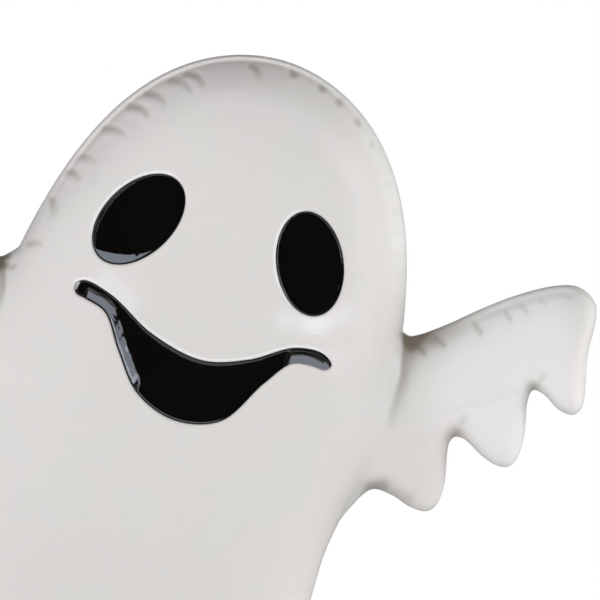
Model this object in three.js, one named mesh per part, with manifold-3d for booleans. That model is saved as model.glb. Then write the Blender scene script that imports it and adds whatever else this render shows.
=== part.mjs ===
// Tabletop ghost figure: a hollow glazed ceramic ghost that leans to one side on a flat foot.
// Millimetres, +Z up. The face looks along -Y, and +X is the viewer's right.
import * as THREE from 'three';
import * as BufferGeometryUtils from 'three/addons/utils/BufferGeometryUtils.js';
import Module from 'manifold-3d';

const wasm = await Module();
wasm.setup();

// Stance: the spine starts upright, bends through an arc, then leans in a straight line
const lean = THREE.MathUtils.degToRad(18);
const uprightLength = 25;
const bendRadius = 250;
const leaningLength = 204;
const padHeight = 2;
const centringShift = -41.2;

// Body outline as half-widths from the spine
const domeHalfWidth = 79.1;
const domeLength = 53.6;
const domePower = 0.517;
const waistPinch = 10.2;
const pinchFrom = 109.3;
const pinchTo = 170.3;
const flareFrom = 170.3;
const footHalfWidth = 80;

// Outlines on the face and the arms are drawn in parts of the dome's half-width, to keep to its size
const toSize = (points) => points.map(([x, y]) => [x * domeHalfWidth, y * domeHalfWidth]);

// Body depth and wall
const headHalfDepth = 27;
const footHalfDepth = 44;
const headFlatness = 3.6;
const footFlatness = 2.1;
const fanCentre = 63.3;
const footRounding = 4;
const wall = 5;

// Crimps pressed into the rim round the head
const crimpPitch = 10.6;
const crimpUnevenness = 0.3;
const crimpDepth = 1.8;
const crimpInward = 5;
const crimpReach = 3.4;
const crimpFadeFrom = 100;
const crimpFadeTo = 135;

// Hem folds round the foot
const hemFolds = 7;
const hemDepth = 0.05;
const hemFrom = 177.3;

// Face hollows, with the glaze that lies in them
const hollowDepth = 2.6;
const glazeSink = 1.1;
const glazeGap = 0.25;
const eyes = [
  {
    name: 'left_eye_glaze',
    tilt: -28.9,
    across: -0.421 * domeHalfWidth,
    down: 0.891 * domeHalfWidth,
    long: 0.249 * domeHalfWidth,
    short: 0.159 * domeHalfWidth,
  },
  {
    name: 'right_eye_glaze',
    tilt: 25,
    across: 0.379 * domeHalfWidth,
    down: 0.845 * domeHalfWidth,
    long: 0.239 * domeHalfWidth,
    short: 0.153 * domeHalfWidth,
  },
];
const mouthOutline = toSize([
  [-0.569, 1.23], [-0.43, 1.257], [-0.202, 1.367], [0.051, 1.411], [0.253, 1.341], [0.43, 1.229],
  [0.56, 1.214], [0.614, 1.252], [0.594, 1.281], [0.531, 1.282], [0.442, 1.3], [0.35, 1.422],
  [0.215, 1.647], [0.013, 1.708], [-0.185, 1.643], [-0.325, 1.487], [-0.437, 1.339], [-0.539, 1.308],
  [-0.589, 1.297], [-0.604, 1.258],
]);

// Arms: each edge is a curve of distances along and across the arm. The lower one runs from the
// fillet at the root over three drips, with a valley before each, to the tip of the hand.
const [handTip, rootValley, handValley] = toSize([[1.054, 0.2], [-0.154, -0.332], [0.673, -0.094]]);
const upperEdge = [
  ...toSize([
    [-0.379, 0.272], [0.202, 0.287], [0.362, 0.3], [0.563, 0.329], [0.732, 0.344], [0.896, 0.338],
    [0.987, 0.311], [1.035, 0.26],
  ]),
  handTip,
];
const lowerEdge = [
  ...toSize([[-0.379, -0.468], [-0.284, -0.394]]),
  rootValley,
  ...toSize([
    [-0.073, -0.383], [-0.009, -0.455], [0.056, -0.494], [0.106, -0.482], [0.168, -0.401],
    [0.22, -0.265], [0.241, -0.223], [0.272, -0.204], [0.308, -0.221], [0.373, -0.326],
    [0.427, -0.383], [0.474, -0.398], [0.518, -0.374], [0.58, -0.279], [0.638, -0.13],
  ]),
  handValley,
  ...toSize([
    [0.713, -0.123], [0.764, -0.212], [0.818, -0.25], [0.865, -0.23], [0.912, -0.13],
    [0.956, -0.006], [1.037, 0.142],
  ]),
  handTip,
];
const armSides = [
  { name: 'right_arm', side: 1, across: 0.91 * domeHalfWidth, down: 1.37 * domeHalfWidth, raised: 33.5 },
  { name: 'left_arm', side: -1, across: 0.961 * domeHalfWidth, down: 1.546 * domeHalfWidth, raised: 13 },
];
const armHalfDepth = 12.5;
const handThinning = 3.5;
const dripThinning = 0.55;
const dripFrom = 4;
const dripTo = 40;
const armSquareness = 2.6;
const armCrimpDepth = 0.8;
const armCrimpFrom = 15;
const armCrimpFull = 25;
const thinEdge = 8;
const armSectionCount = 46;
const armWall = 3.5;
const handSolid = 12.4;
const armCavityClosing = 14;
const lutingGap = 0.3;
const armVentRadius = 4;

// Foot
const footVentRadius = 6;
const footVentX = 18;
const padRadius = 5;
const padX = 50;
const padY = 25;
const padGap = 0.25;

const whiteGlaze = { color: 0xece9e6, roughness: 0.15, metalness: 0 };
const blackGlaze = { color: 0x0b0b09, roughness: 0.12, metalness: 0 };
const felt = { color: 0x4a4744, roughness: 0.95, metalness: 0 };

const bendLength = bendRadius * lean;
const spineLength = uprightLength + bendLength + leaningLength;
const { lerp, smoothstep } = THREE.MathUtils;

// A point on the spine and the lean there, from its distance below the crown
function spineFrame(down) {
  const up = spineLength - down;
  const upright = Math.min(up, uprightLength);
  const leaning = Math.max(up - uprightLength - bendLength, 0);
  const angle = (up - upright - leaning) / bendRadius;
  const x = bendRadius * (1 - Math.cos(angle)) + leaning * Math.sin(lean);
  const z = padHeight + upright + bendRadius * Math.sin(angle) + leaning * Math.cos(lean);
  return { x, z, angle };
}

// From figure coordinates (across the spine, down from the crown, depth) to the row frame
function place(across, down, depth) {
  const { x, z, angle } = spineFrame(down);
  return new THREE.Vector3(x + across * Math.cos(angle), depth, z - across * Math.sin(angle));
}

function bodyHalfWidth(down, inset) {
  const fall = Math.max(down - inset, 0);
  const dome = (domeHalfWidth - inset) * (1 - Math.exp(-fall / domeLength)) ** domePower;
  const flare = Math.max(down - flareFrom, 0) / (spineLength - flareFrom);
  const opening = footHalfWidth - domeHalfWidth + waistPinch;
  return dome - waistPinch * smoothstep(down, pinchFrom, pinchTo) + opening * flare ** 2;
}

// Stations down one side of the outline: crimp peaks and dips on the head, wider steps below
function outlineStations(form) {
  const bottom = spineLength - form.inset;
  const fineCount = 800;
  const stations = [];
  let previous = { down: form.inset, across: 0 };
  let along = 0;
  let next = 0;
  for (let i = 0; i <= fineCount; i += 1) {
    const down = form.inset + (bottom - footRounding - form.inset) * (i / fineCount) ** 2;
    const across = bodyHalfWidth(down, form.inset);
    along += Math.hypot(down - previous.down, across - previous.across);
    if (along >= next || i === fineCount) {
      stations.push({ down, across, along });
      next += along < crimpFadeTo ? form.step : form.lowStep;
    }
    previous = { down, across };
  }
  for (const turn of [30, 60, 90]) {
    const angle = THREE.MathUtils.degToRad(turn);
    const down = bottom - footRounding * (1 - Math.sin(angle));
    const tuck = footRounding * (1 - Math.cos(angle));
    stations.push({ down, across: bodyHalfWidth(down, form.inset) - tuck, along, tuck });
  }
  return stations;
}

// How far a crimp is pressed in at a distance along the rim from the crown, uneven as by hand
function crimpAt(along) {
  const wave = 0.5 - 0.5 * Math.cos((2 * Math.PI * along) / crimpPitch);
  const uneven = 1 - crimpUnevenness * (0.5 + 0.5 * Math.sin(along / 7));
  return crimpDepth * wave * uneven * (1 - smoothstep(along, crimpFadeFrom, crimpFadeTo));
}

// One point of the skin: at turn 0 it is on the rim and at turn 1 on the centre line
function skinPoint(station, side, face, turn, form) {
  const { down, across, along, tuck = 0 } = station;
  const centreDown = Math.max(down, fanCentre);
  const low = smoothstep(down, flareFrom, spineLength);
  const power = 2 / lerp(headFlatness, footFlatness, low);
  const angle = (turn * Math.PI) / 2;
  const halfDepth = lerp(headHalfDepth, footHalfDepth, low) - form.inset - tuck;
  let outward = Math.cos(angle) ** power;
  let depth = halfDepth * Math.sin(angle);
  if (turn === 1) {
    outward = 0;
  }
  if (form.detailed) {
    const reach = Math.hypot(across, centreDown - down);
    const inward = reach * (1 - outward);
    const press = crimpAt(along) * Math.exp(-(((inward - crimpInward) / crimpReach) ** 2));
    depth -= press;
    outward -= press / reach;
    const around = Math.atan2(face * Math.sin(angle), side * Math.cos(angle));
    const fold = 1 + hemDepth * smoothstep(down, hemFrom, spineLength) * Math.cos(hemFolds * around);
    outward *= fold;
    depth *= fold;
  }
  return place(side * across * outward, centreDown + (down - centreDown) * outward, face * depth);
}

// The closed form of head and body, whose rows run from the rim to the centre line on each face
function bodyForm(form) {
  const stations = outlineStations(form);
  const last = stations.length - 1;
  const crownStation = { down: fanCentre, across: bodyHalfWidth(fanCentre, form.inset), along: 0 };
  const points = [];
  const known = new Map();
  const index = [];

  function vertex(column, row, face) {
    const station = stations[Math.abs(column)];
    const onCentre = row === form.rows;
    const inFan = onCentre && station.down <= fanCentre;
    const shared = onCentre ? Math.abs(column) : column;
    const key = inFan ? `fan ${face}` : `${shared} ${row} ${row === 0 ? 0 : face}`;
    if (!known.has(key)) {
      known.set(key, points.length);
      const from = inFan ? crownStation : station;
      points.push(skinPoint(from, Math.sign(column) || 1, face, row / form.rows, form));
    }
    return known.get(key);
  }
  function triangle(a, b, c, face) {
    if (a !== b && b !== c && c !== a) {
      index.push(...(face < 0 ? [a, c, b] : [a, b, c]));
    }
  }
  points.push(place(0, spineLength - form.inset, 0));
  for (const face of [-1, 1]) {
    for (let row = 0; row < form.rows; row += 1) {
      for (let column = -last; column < last; column += 1) {
        const inner = vertex(column, row + 1, face);
        const outer = vertex(column + 1, row, face);
        triangle(vertex(column, row, face), outer, inner, face);
        triangle(outer, vertex(column + 1, row + 1, face), inner, face);
      }
      triangle(vertex(-last, row, face), vertex(-last, row + 1, face), 0, face);
      triangle(vertex(last, row + 1, face), vertex(last, row, face), 0, face);
    }
  }
  return solid(points, index);
}

function solid(points, index) {
  const vertProperties = new Float32Array(points.flatMap((point) => point.toArray()));
  return new wasm.Manifold(new wasm.Mesh({ numProp: 3, vertProperties, triVerts: new Uint32Array(index) }));
}

function solidOf(geometry) {
  const bare = geometry.clone();
  bare.deleteAttribute('normal');
  bare.deleteAttribute('uv');
  const welded = BufferGeometryUtils.mergeVertices(bare, 1e-4);
  const vertProperties = new Float32Array(welded.attributes.position.array);
  const triVerts = new Uint32Array(welded.index.array);
  return new wasm.Manifold(new wasm.Mesh({ numProp: 3, vertProperties, triVerts }));
}

// Face outlines, as points across and up from the crown
function eyePoints({ across, down, long, short, tilt }, grow) {
  const turn = THREE.MathUtils.degToRad(90 + tilt);
  const radii = [long + grow, short + grow];
  const curve = new THREE.EllipseCurve(across, -down, ...radii, 0, 2 * Math.PI, false, turn);
  return curve.getPoints(40).slice(0, -1);
}

function mouthPoints(grow) {
  const through = mouthOutline.map(([across, down]) => new THREE.Vector3(across, -down, 0));
  const curve = new THREE.CatmullRomCurve3(through, true, 'centripetal');
  const count = 96;
  return Array.from({ length: count }, (_, i) => {
    const point = curve.getPointAt(i / count);
    const along = curve.getTangentAt(i / count);
    return new THREE.Vector2(point.x + along.y * -grow, point.y + along.x * grow);
  });
}

// A prism through the front of the face, square to the leaning spine
function facePrism(points) {
  const deep = 2 * headHalfDepth;
  const geometry = new THREE.ExtrudeGeometry(new THREE.Shape(points), { depth: deep, bevelEnabled: false });
  geometry.rotateX(Math.PI / 2);
  geometry.rotateY(lean);
  const crown = place(0, 0, 0);
  geometry.translate(crown.x, crown.y, crown.z);
  return solidOf(geometry);
}

// The height of an edge curve at each distance along the arm
function edgeHeight(edge) {
  const through = edge.map(([along, height]) => new THREE.Vector3(along, height, 0));
  const points = new THREE.CatmullRomCurve3(through, false, 'centripetal').getPoints(400);
  return (along) => {
    const i = points.findIndex((point) => point.x >= along);
    if (i <= 0) {
      return points[i < 0 ? points.length - 1 : 0].y;
    }
    const a = points[i - 1];
    const b = points[i];
    return lerp(a.y, b.y, (along - a.x) / (b.x - a.x));
  };
}

// A closed loft of upright ovals from the root of the arm to its hand
function armLoft(arm, sections, ringCount) {
  const root = place(arm.side * arm.across, arm.down, 0);
  const rise = THREE.MathUtils.degToRad(arm.raised) - arm.side * lean;
  const points = [];
  function put(along, height, depth) {
    const x = along * Math.cos(rise) - height * Math.sin(rise);
    const z = along * Math.sin(rise) + height * Math.cos(rise);
    points.push(new THREE.Vector3(root.x + arm.side * x, depth, root.z + z));
    return points.length - 1;
  }
  const power = 2 / armSquareness;
  const rings = sections.map(({ along, top, bottom, depthAt }) =>
    Array.from({ length: ringCount }, (_, k) => {
      const angle = (2 * Math.PI * k) / ringCount;
      const cos = Math.cos(angle);
      const sin = Math.sin(angle);
      const height = (top + bottom) / 2 + ((top - bottom) / 2) * Math.sign(cos) * Math.abs(cos) ** power;
      return put(along, height, depthAt(height, cos) * Math.sign(sin) * Math.abs(sin) ** power);
    }),
  );
  const first = sections[0];
  const end = sections[sections.length - 1];
  const hubs = [first, end].map((section) => put(section.along, (section.top + section.bottom) / 2, 0));
  const index = [];
  function triangle(a, b, c) {
    index.push(...(arm.side < 0 ? [a, c, b] : [a, b, c]));
  }
  for (let k = 0; k < ringCount; k += 1) {
    const n = (k + 1) % ringCount;
    triangle(hubs[0], rings[0][k], rings[0][n]);
    triangle(hubs[1], rings[rings.length - 1][n], rings[rings.length - 1][k]);
    for (let i = 0; i < rings.length - 1; i += 1) {
      triangle(rings[i][k], rings[i + 1][k], rings[i][n]);
      triangle(rings[i][n], rings[i + 1][k], rings[i + 1][n]);
    }
  }
  return solid(points, index);
}

// How the arm thins from the shoulder to the hand
function beamHalfDepth(along) {
  return armHalfDepth - handThinning * smoothstep(along, 0, handTip[0]);
}

function armSections() {
  const topAt = edgeHeight(upperEdge);
  const bottomAt = edgeHeight(lowerEdge);
  const begin = lowerEdge[0][0];
  const end = handTip[0] - lutingGap;
  return Array.from({ length: armSectionCount }, (_, i) => {
    const toEnd = 1 - i / (armSectionCount - 1);
    const along = lerp(end, begin, toEnd ** 1.25);
    const top = topAt(along);
    const bottom = bottomAt(along);
    const fill = 1 - Math.exp(-(top - bottom) / thinEdge);
    const wave = 0.5 - 0.5 * Math.cos((2 * Math.PI * along) / crimpPitch);
    const crimp = armCrimpDepth * wave * smoothstep(along, armCrimpFrom, armCrimpFull);
    function depthAt(height, turn) {
      const drip = 1 - dripThinning * smoothstep(-height, dripFrom, dripTo);
      const nearTop = smoothstep(turn, 0.6, 0.8) * (1 - smoothstep(turn, 0.9, 1));
      return beamHalfDepth(along) * fill * drip - crimp * nearTop;
    }
    return { along, top, bottom, depthAt };
  });
}

// The arm's hollow follows the beam above the drips, which are solid
function cavitySections() {
  const topAt = edgeHeight(upperEdge);
  const slope = (handValley[1] - rootValley[1]) / (handValley[0] - rootValley[0]);
  const begin = lowerEdge[0][0] - lutingGap;
  const cavityEnd = handTip[0] - handSolid;
  const count = 9;
  return Array.from({ length: count }, (_, i) => {
    const toEnd = 1 - i / (count - 1);
    const along = lerp(cavityEnd, begin, toEnd ** 1.6);
    const rounding = smoothstep(along, cavityEnd - armCavityClosing, cavityEnd);
    const closing = Math.sqrt(1 - 0.9 * rounding);
    const valley = rootValley[1] + slope * (along - rootValley[0]);
    const middle = (topAt(along) + valley) / 2;
    const half = ((topAt(along) - valley) / 2 - armWall) * closing;
    const halfDepth = (beamHalfDepth(along) - armWall) * closing;
    return { along, top: middle + half, bottom: middle - half, depthAt: () => halfDepth };
  });
}

// A round hole along the direction given, centred on a point
function bore(radius, length, at, direction) {
  const geometry = new THREE.CylinderGeometry(radius, radius, length, 24);
  geometry.applyQuaternion(new THREE.Quaternion().setFromUnitVectors(new THREE.Vector3(0, 1, 0), direction));
  geometry.translate(at.x, at.y, at.z);
  return solidOf(geometry);
}

function mesh(name, shape, look) {
  const { vertProperties, triVerts } = shape.getMesh();
  const geometry = new THREE.BufferGeometry();
  geometry.setAttribute('position', new THREE.BufferAttribute(vertProperties, 3));
  geometry.setIndex(new THREE.BufferAttribute(triVerts, 1));
  geometry.computeVertexNormals();
  const part = new THREE.Mesh(geometry, new THREE.MeshStandardMaterial(look));
  part.name = name;
  return part;
}

const detailedForm = { inset: 0, step: crimpPitch / 2, lowStep: 9, rows: 8, detailed: true };
const plainForm = { step: 10, lowStep: 14, rows: 8, detailed: false };

function bodyShell() {
  const cavity = bodyForm({ ...plainForm, inset: wall, rows: 6 });
  const core = bodyForm({ ...plainForm, inset: hollowDepth });
  let shell = bodyForm(detailedForm).subtract(cavity);
  for (const points of [...eyes.map((eye) => eyePoints(eye, 0)), mouthPoints(0)]) {
    shell = shell.subtract(facePrism(points).subtract(core));
  }
  for (const { side, across, down } of armSides) {
    const shoulder = place(side * (across - wall), down, 0);
    shell = shell.subtract(bore(armVentRadius, 6 * wall, shoulder, new THREE.Vector3(1, 0, 0)));
  }
  const vent = new THREE.Vector3(footVentX, 0, padHeight);
  return shell.subtract(bore(footVentRadius, 4 * wall, vent, new THREE.Vector3(0, 0, 1)));
}

function faceGlaze(points) {
  const top = bodyForm({ ...plainForm, inset: glazeSink });
  const bottom = bodyForm({ ...plainForm, inset: hollowDepth - glazeGap });
  return facePrism(points).intersect(top).subtract(bottom);
}

function armShell(arm, clearance) {
  const outer = armLoft(arm, armSections(), 16);
  const cavity = armLoft(arm, cavitySections(), 12);
  return outer.subtract(cavity).subtract(clearance);
}

const figure = new THREE.Group();
figure.name = 'ghost_figure';
figure.position.x = centringShift;
figure.add(mesh('body_shell', bodyShell(), whiteGlaze));

const lutingClearance = bodyForm({ ...detailedForm, inset: -lutingGap });
for (const arm of armSides) {
  figure.add(mesh(arm.name, armShell(arm, lutingClearance), whiteGlaze));
}

for (const eye of eyes) {
  figure.add(mesh(eye.name, faceGlaze(eyePoints(eye, -glazeGap)), blackGlaze));
}
figure.add(mesh('mouth_glaze', faceGlaze(mouthPoints(-glazeGap)), blackGlaze));

const pad = new THREE.CylinderGeometry(padRadius, padRadius, padHeight - padGap, 24);
for (const [name, sideX, sideY] of [
  ['foot_pad_front_left', -1, -1],
  ['foot_pad_front_right', 1, -1],
  ['foot_pad_rear_left', -1, 1],
  ['foot_pad_rear_right', 1, 1],
]) {
  const part = new THREE.Mesh(pad, new THREE.MeshStandardMaterial(felt));
  part.name = name;
  part.rotation.x = Math.PI / 2;
  part.position.set(sideX * padX, sideY * padY, (padHeight - padGap) / 2);
  figure.add(part);
}

export default figure;
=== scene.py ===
# Tabletop ghost figure in glazed ceramic: glaze, crimps, hollows and felt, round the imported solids.
import math

import bmesh
import bpy
from mathutils import Matrix, Vector
from mathutils.kdtree import KDTree


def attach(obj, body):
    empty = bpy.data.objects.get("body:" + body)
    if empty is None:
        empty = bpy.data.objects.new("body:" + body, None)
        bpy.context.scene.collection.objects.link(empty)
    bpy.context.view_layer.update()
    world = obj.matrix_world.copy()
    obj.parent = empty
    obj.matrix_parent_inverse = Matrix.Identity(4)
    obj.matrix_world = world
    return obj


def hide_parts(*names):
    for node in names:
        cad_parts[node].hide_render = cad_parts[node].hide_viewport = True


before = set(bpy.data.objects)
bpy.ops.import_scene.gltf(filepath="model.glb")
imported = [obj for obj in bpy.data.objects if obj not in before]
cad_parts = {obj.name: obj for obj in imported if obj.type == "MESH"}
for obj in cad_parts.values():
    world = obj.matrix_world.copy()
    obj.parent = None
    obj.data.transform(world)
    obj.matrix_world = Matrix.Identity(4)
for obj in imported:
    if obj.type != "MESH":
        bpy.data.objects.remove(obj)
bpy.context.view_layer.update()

# Everything is shaped in millimetres on an unbent figure: X is across the spine, Y is depth with the
# face towards -Y, and Z is minus the distance below the crown. bend() then lays it on the real spine.
MM = 0.001

# Stance
LEAN = math.radians(18)
UPRIGHT = 25
BEND_RADIUS = 250
LEANING = 204
PAD_HEIGHT = 2
CENTRING_SHIFT = -41.2
BEND_LENGTH = BEND_RADIUS * LEAN
SPINE = UPRIGHT + BEND_LENGTH + LEANING

# Body outline and depth
DOME_HALF_WIDTH = 79.1
DOME_LENGTH = 53.6
DOME_POWER = 0.517
WAIST_PINCH = 10.2
PINCH_FROM = 109.3
PINCH_TO = 170.3
FLARE_FROM = 170.3
FOOT_HALF_WIDTH = 80
HEAD_HALF_DEPTH = 27
FOOT_HALF_DEPTH = 44
HEAD_FLATNESS = 3.6
FOOT_FLATNESS = 2.1
FAN_CENTRE = 63.3
FAN_SOFTNESS = 15
FOOT_ROUNDING = 4
FOOT_VENT_RADIUS = 6
FOOT_VENT_ACROSS = 18
WALL = 5

# Hem folds round the foot
HEM_FOLDS = 7
HEM_DEPTH = 0.05
HEM_FROM = 177.3

# Rim: a narrow shelf inside the edge, a crease, and a rise to the face, steep at first
SHELF_DEPTH = 5.3
SHELF_WIDTH = 2.1
SHELF_REACH = 11.5
SHELF_SOFTNESS = 2
SHELF_FADE = (80, 125)
SHELF_INWARD_FADE = (25, 55)
RIGHT_SHELF_END = (70, 105)
RIGHT_SHELF_FADE = (8, 45)
RIGHT_SHELF = 0.15

# Crimps: strokes from one place to another, each the distance along the rim from the crown and the
# distance in from it, and how deep they are pressed
LEFT_CRIMPS = [
    ((37.7, 3.4), (32.5, 8.2), 1.5), ((44, 3.3), (38.3, 8.3), 1.3), ((54.7, 3.2), (50.5, 8), 1.3),
    ((62.6, 3.2), (59.1, 8.4), 1.6), ((75.4, 3), (72, 8.1), 1.3), ((89, 3), (88, 7), 1),
    ((95.9, 3), (96.7, 6.1), 1.4), ((108.4, 2.6), (113, 5.6), 1.3), ((126.3, 3), (125, 6.4), 1.3),
    ((12.7, 3.9), (9.6, 7.2), 1.4),
]
RIGHT_CRIMPS = [
    ((2.3, 3.6), (3.2, 3.9), 1.7), ((14.6, 3.2), (15.8, 3.5), 1.2), ((23.2, 3.3), (24.2, 3.6), 1),
    ((33.2, 3.1), (34.4, 3.4), 0.9), ((43.4, 3), (44.2, 3.3), 0.5), ((60, 3.6), (61, 4), 0.3),
]
CRIMP_HALF_WIDTH = 1.45
CRIMP_END = 1.3
CRIMP_BOW = -0.055
CRIMP_FAR_END = 0.45
LUMP_ASIDE = 2.8
LUMP_HEIGHT = 0.35
LUMP_HALF_WIDTH = 1.8
CRIMPED_WIDTH = 14
CRIMP_REACH = 15
# Painted shade in the crimps and in the crease inside the rim's shelf, and a painted highlight down the
# right-hand rim
CRIMP_PAINTED_SHADE = 0.34
CREASE_PAINTED_SHADE = 0.14
RIGHT_PAINTED_HIGHLIGHT = 0.5

# Face hollows
# Each eye's last entry is the side of its lip that gets a painted highlight
EYES = {
    "left_eye": {"across": -33.3, "down": 70.5, "long": 19.7, "short": 12.6, "tilt": -28.9,
        "brims": [{"towards": (0.22, -0.975), "width": 4.2, "sag": 0.014, "border": 0.5}],
        "painted_highlight": (-0.7, 0.7)},
    "right_eye": {"across": 30, "down": 66.8, "long": 18.9, "short": 12.1, "tilt": 25,
        "brims": [], "painted_highlight": (-0.93, 0.1)},
}
UPPER_LIP = [
    (-47.8, 99.5), (-45, 97.3), (-34, 99.4), (-16, 108.1), (4, 111.6), (20, 106.1), (34, 97.2),
    (44.3, 96), (48.6, 99),
]
LOWER_LIP = [
    (48.6, 99), (47, 101.3), (42, 101.4), (35, 102.8), (27.7, 112.5), (17, 130.3), (1, 135.1),
    (-14.6, 130), (-25.7, 117.6), (-34.6, 105.9), (-42.6, 103.5), (-46.6, 102.6),
]
MOUTH_BRIMS = [
    {"towards": (-0.85, -0.53), "width": 4, "from": -43.2, "to": -15.5, "border": 0.7},
    {"towards": (-0.2, -0.98), "width": 5.2, "from": 33, "to": 49, "border": 0, "wall": 1.4},
]
# The side of the mouth's lip that gets a painted highlight
MOUTH_HIGHLIGHT_SIDE = (-0.6, 0.8)
HOLLOW_DEPTH = 5.5
LIP_RADIUS = 1.1
LIP_REACH = 3.4

# Black glaze in the hollows: steep at the edge but for its brims, which run down to the pool
GLAZE_EDGE = 1.0
GLAZE_GROWTH = 0.12
STEEP_BRIM = 0.35
BORDER_FALL = 0.3
EYE_FALL = 2.6
MOUTH_FALL = 2.8

# Painted highlights on the face, across and down: from, to, half width and how much
PAINTED_HIGHLIGHTS = [
    ((28, 88.5), (40, 86.5), 4.5, 0.55), ((38, 87), (47, 80.5), 4.5, 0.45),
    ((-38, 94.5), (-27, 99.5), 4, 0.4), ((48, 96), (49, 97), 5, 0.25),
]

# Arms
HAND_TIP = (83.4, 15.8)
UPPER_EDGE = [
    (-30, 21.5), (16, 22.7), (28.6, 23.7), (44.5, 26), (57.9, 27.2), (70.9, 26.7), (78.1, 24.6),
    (81.9, 20.6), HAND_TIP,
]
LOWER_EDGE = [
    (-30, -37), (-22.5, -31.2), (-12.2, -26.3), (-5.8, -30.3), (-0.7, -36), (4.4, -39.1), (8.4, -38.1),
    (13.3, -31.7), (17.4, -21), (19.1, -17.6), (21.5, -16.1), (24.4, -17.5), (29.5, -25.8),
    (33.8, -30.3), (37.5, -31.5), (41, -29.6), (45.9, -22.1), (50.5, -10.3), (53.2, -7.4),
    (56.4, -9.7), (60.4, -16.8), (64.7, -19.8), (68.4, -18.2), (72.1, -10.3), (75.6, -0.5),
    (82, 11.2), HAND_TIP,
]
# The first part of each upper edge, with the fillet where it meets the body
RIGHT_FILLET = [
    (-30, 36), (6, 32), (12.4, 27.5), (14.2, 24.9), (16, 23.3), (19.5, 22.9), (24, 23.1), (31, 23.9),
]
LEFT_FILLET = [(-30, 44), (0.6, 34), (2.4, 29), (4, 26), (6.2, 23)]
# Strokes pressed into an arm: from, to, half width, depth and how much painted shade lies in them
ARM_CRIMPS = [
    ((13.5, 21.4), (17, 20.6), 1, 0.7, 0.35), ((17, 20.4), (18.8, 16.4), 1.3, 1.2, 0.5),
    ((24.7, 20), (26.6, 17), 1.2, 1, 0.35),
    ((39.4, 21.2), (40.4, 17.8), 1.2, 1.2, 0.34), ((51.3, 22.3), (52, 19.6), 1, 1, 0.26),
    ((57.5, 22.7), (58.4, 20.8), 1, 0.8, 0.2), ((64.6, 22.9), (65.6, 21.7), 1, 0.7, 0.16),
    ((74.1, 22), (75.2, 21), 1, 0.6, 0.14),
]
ARM_FOLDS = [
    ((8.8, -13.7), (20, -13.8), 1.3, 0.35, 0.05), ((20.6, -6.5), (51.7, -6.3), 1.3, 0.35, 0.05),
]
# Dents in the corners between the drips, laid down in the same way, with painted shade in them
VALLEY_DENTS = [
    ((21.4, -15.8), (22.4, -14.8), 2.1, 0.7, 0.5), ((22.6, -14.6), (26.4, -10.6), 1.3, 0.3, 0.2),
    ((53.1, -7.2), (54, -6.4), 1.9, 0.7, 0.5), ((54, -6.4), (58, -3.6), 1.2, 0.3, 0.2),
    ((-12.5, -26), (-8, -26.4), 2.5, 0.7, 0.55), ((-8, -27.2), (-1, -33), 2.3, 0.3, 0.28),
]
# Painted highlights on an arm: from, to, half width and how much
ARM_PAINTED_HIGHLIGHTS = [
    ((78.6, 3.8), (73.6, -5.4), 0.9, 1), ((74, -11), (75, -11), 2.2, 0.7),
    ((45.7, -18), (49.6, -9.5), 0.5, 0.9),
]
# Painted light over most of an arm's face, between its root and its hand
ARM_PAINTED_LIGHT = 0.6
ARM_SHELF_WIDTH = 2.4
ARM_SHELF_DEPTH = 4.2
ARM_SHELF_REACH = 5
ARM_CREASE = 3.4
# Painted shade under an arm's top edge, round its armpit and along its top edge from there, with its most and
# the height above which none is painted
CREASE_SHADE = 0.18
PIT_PAINTED_SHADE = 0.3
PIT_PAINTED_SHADE_REACH = 12
EDGE_PAINTED_SHADE = 0.8
EDGE_PAINTED_SHADE_WIDTH = 5.5
EDGE_PAINTED_SHADE_FADE = (14, 52)
MOST_PAINTED_SHADE = 0.95
NO_PAINTED_SHADE_ABOVE = (24.3, 26.5)
ARMPIT_REACH = 9
ARMPIT_DEPTH = 3.2
SKIN_GAP = 0.12

# In each arm, the amount given after its armpit is the painted shade in the armpit's crease
ARMS = {
    "right_arm": {
        "side": 1, "across": 72, "down": 108.4, "raised": math.radians(33.5),
        "upper": RIGHT_FILLET + UPPER_EDGE[3:],
        "armpit": [(13.9, 23.6), (9.1, 10.2), (1.6, -2), (-3, -10)], "painted_shade_amount": 0.65,
        "crimps": ARM_CRIMPS + ARM_FOLDS,
    },
    "left_arm": {
        "side": -1, "across": 76, "down": 122.3, "raised": math.radians(13),
        "upper": LEFT_FILLET + UPPER_EDGE[1:], "armpit": [(3.8, 21), (-0.5, 14.5), (-3.5, 7), (-5, -4)],
        "painted_shade_amount": 0.5,
        "crimps": [((5.6, 20.4), (0.4, 22.2), 1.2, 0.8, 0.5)] + ARM_CRIMPS[2:] + ARM_FOLDS[1:],
    },
}
ARM_HALF_DEPTH = 12.5
HAND_THINNING = 3.5
DRIP_THINNING = 0.55
# An arm's swell: a quarter round at its edge and a wide one over the field inside it
ARM_ROLL = 4.5
ARM_ROLL_PART = 0.56
ARM_FIELD = 15
ARM_FIELD_PART = 0.44
# Where an arm can meet the body: how far across, and how far below the crown
ARM_ACROSS = 20
ARM_DOWN = (60, 200)

# Meshes: how far apart the outline's stations are, up to each distance from the crown, and the rows
STATION_STEPS = ((112, 0.85), (180, 1.2), (math.inf, 2.4))
ROW_STEP = 0.55
WIDEST_ROW_STEP = 2.5
ROW_GROWTH = 1.07
FINE_ROWS = 22
ROW_HALF_WIDTH = 70
ARM_COLUMNS = 260
ARM_ROWS = 44
EYE_GRID = (110, 36)
MOUTH_GRID = (220, 30)


def smoothstep(x, low, high):
    part = min(max((x - low) / (high - low), 0), 1)
    return part * part * (3 - 2 * part)


def lerp(a, b, part):
    return a + (b - a) * part


def bell(x, width):
    return math.exp(-((x / width) ** 2))


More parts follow.
